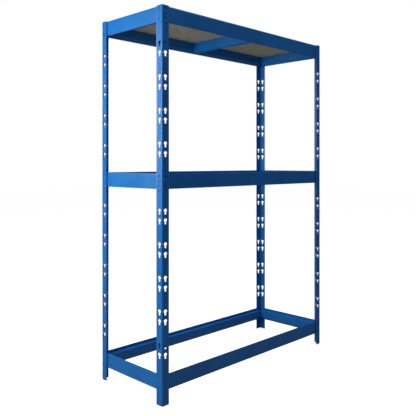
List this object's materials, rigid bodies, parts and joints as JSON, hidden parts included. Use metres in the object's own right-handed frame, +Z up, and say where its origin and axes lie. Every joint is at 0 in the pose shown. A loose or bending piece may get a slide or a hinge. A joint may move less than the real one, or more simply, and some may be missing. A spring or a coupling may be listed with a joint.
{
  "type": "tyre storage rack",
  "caption": "Free-standing boltless rack: keyholed angle posts, hook-in box beams on open levels that cradle tyres or wheels, and a board deck on top.",
  "frame": {"origin": "on the floor, midway between the four posts", "axes": "+X along the long beams to the right seen from the front, +Y from the front to the rear, +Z up"},
  "size_m": [1.3836, 0.5176, 1.98],
  "materials": {
    "post_coat": "satin blue powder coat on rolled steel angle",
    "beam_coat": "satin blue powder coat on folded steel strip",
    "connector_coat": "satin blue powder coat on steel plate and studs",
    "tie_coat": "satin blue powder coat on folded steel strip",
    "deck_board": "raw chipboard"
  },
  "bodies": {
    "frame": {"post_front_left": "post_coat", "post_front_right": "post_coat", "post_rear_right": "post_coat", "post_rear_left": "post_coat", "top_beam_front": "beam_coat", "top_beam_front_connector_a": "connector_coat", "top_beam_front_connector_b": "connector_coat", "top_beam_right": "beam_coat", "top_beam_right_connector_a": "connector_coat", "top_beam_right_connector_b": "connector_coat", "top_beam_rear": "beam_coat", "top_beam_rear_connector_a": "connector_coat", "top_beam_rear_connector_b": "connector_coat", "top_beam_left": "beam_coat", "top_beam_left_connector_a": "connector_coat", "top_beam_left_connector_b": "connector_coat", "top_tie_bar": "tie_coat"},
    "deck_board": {"top_deck_board": "deck_board"},
    "middle_beam_front": {"middle_beam_front": "beam_coat", "middle_beam_front_connector_a": "connector_coat", "middle_beam_front_connector_b": "connector_coat"},
    "middle_beam_right": {"middle_beam_right": "beam_coat", "middle_beam_right_connector_a": "connector_coat", "middle_beam_right_connector_b": "connector_coat"},
    "middle_beam_rear": {"middle_beam_rear": "beam_coat", "middle_beam_rear_connector_a": "connector_coat", "middle_beam_rear_connector_b": "connector_coat"},
    "middle_beam_left": {"middle_beam_left": "beam_coat", "middle_beam_left_connector_a": "connector_coat", "middle_beam_left_connector_b": "connector_coat"},
    "bottom_beam_front": {"bottom_beam_front": "beam_coat", "bottom_beam_front_connector_a": "connector_coat", "bottom_beam_front_connector_b": "connector_coat"},
    "bottom_beam_right": {"bottom_beam_right": "beam_coat", "bottom_beam_right_connector_a": "connector_coat", "bottom_beam_right_connector_b": "connector_coat"},
    "bottom_beam_rear": {"bottom_beam_rear": "beam_coat", "bottom_beam_rear_connector_a": "connector_coat", "bottom_beam_rear_connector_b": "connector_coat"},
    "bottom_beam_left": {"bottom_beam_left": "beam_coat", "bottom_beam_left_connector_a": "connector_coat", "bottom_beam_left_connector_b": "connector_coat"}
  },
  "joints": [
    {"name": "deck_lift", "type": "slide", "parent": "frame", "child": "deck_board", "axis": [0, 0, 1], "range_m": [0, 0.1]},
    {"name": "middle_front_lift", "type": "slide", "parent": "frame", "child": "middle_beam_front", "axis": [0, 0, 1], "range_m": [0, 0.015]},
    {"name": "middle_right_lift", "type": "slide", "parent": "frame", "child": "middle_beam_right", "axis": [0, 0, 1], "range_m": [0, 0.015]},
    {"name": "middle_rear_lift", "type": "slide", "parent": "frame", "child": "middle_beam_rear", "axis": [0, 0, 1], "range_m": [0, 0.015]},
    {"name": "middle_left_lift", "type": "slide", "parent": "frame", "child": "middle_beam_left", "axis": [0, 0, 1], "range_m": [0, 0.015]},
    {"name": "bottom_front_lift", "type": "slide", "parent": "frame", "child": "bottom_beam_front", "axis": [0, 0, 1], "range_m": [0, 0.015]},
    {"name": "bottom_right_lift", "type": "slide", "parent": "frame", "child": "bottom_beam_right", "axis": [0, 0, 1], "range_m": [0, 0.015]},
    {"name": "bottom_rear_lift", "type": "slide", "parent": "frame", "child": "bottom_beam_rear", "axis": [0, 0, 1], "range_m": [0, 0.015]},
    {"name": "bottom_left_lift", "type": "slide", "parent": "frame", "child": "bottom_beam_left", "axis": [0, 0, 1], "range_m": [0, 0.015]}
  ]
}
